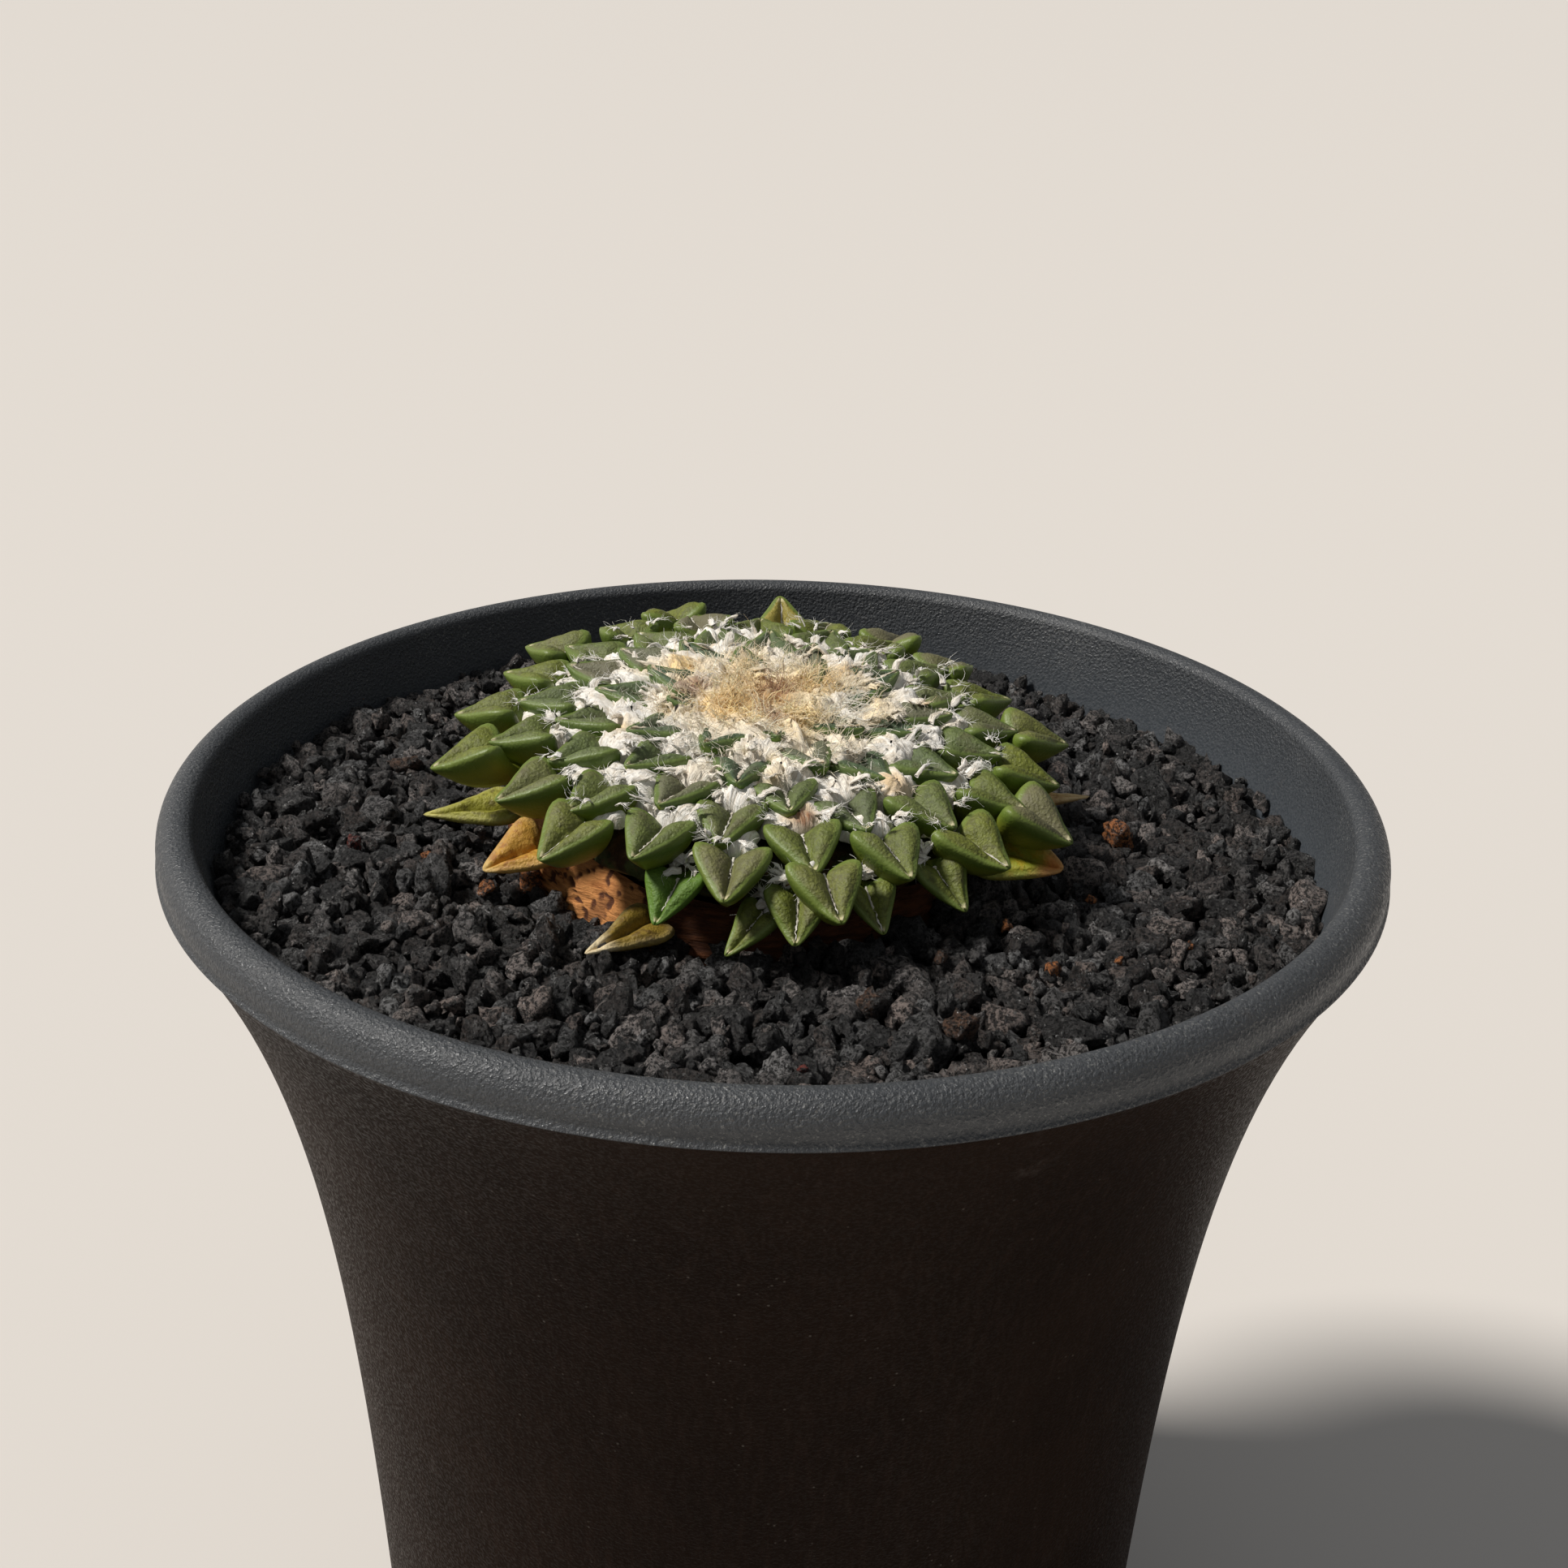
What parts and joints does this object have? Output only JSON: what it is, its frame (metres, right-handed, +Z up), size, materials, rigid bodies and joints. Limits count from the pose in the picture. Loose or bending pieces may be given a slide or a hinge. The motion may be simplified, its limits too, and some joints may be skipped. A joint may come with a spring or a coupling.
{
  "type": "potted living rock cactus",
  "caption": "Small furrowed rosette cactus with a woolly crown, on a woody root neck in black lava grit, in a flared black plastic pot.",
  "frame": {"origin": "middle of the pot's foot, on the surface that it stands on", "axes": "+Z up along the pot's axis, -Y toward the viewer of the picture, +X to the viewer's right"},
  "size_m": [0.105, 0.105, 0.1155],
  "materials": {
    "pot": "matte black plastic with a fine grain",
    "grit": "rough porous black lava grit",
    "taproot": "cracked brown bark",
    "rosette": "waxy olive green plant skin",
    "crown_wool": "cream plant wool with a tan middle",
    "old_tubercle_1": "drying yellow green",
    "old_tubercle_2": "drying orange",
    "old_tubercle_3": "dry papery beige",
    "old_tubercle_4": "drying yellow green with an orange tip",
    "old_tubercle_5": "dry tan"
  },
  "bodies": {
    "root": {"pot": "pot", "grit": "grit", "taproot": "taproot", "rosette": "rosette", "crown_wool": "crown_wool", "old_tubercle_1": "old_tubercle_1", "old_tubercle_2": "old_tubercle_2", "old_tubercle_3": "old_tubercle_3", "old_tubercle_4": "old_tubercle_4", "old_tubercle_5": "old_tubercle_5"}
  },
  "joints": []
}
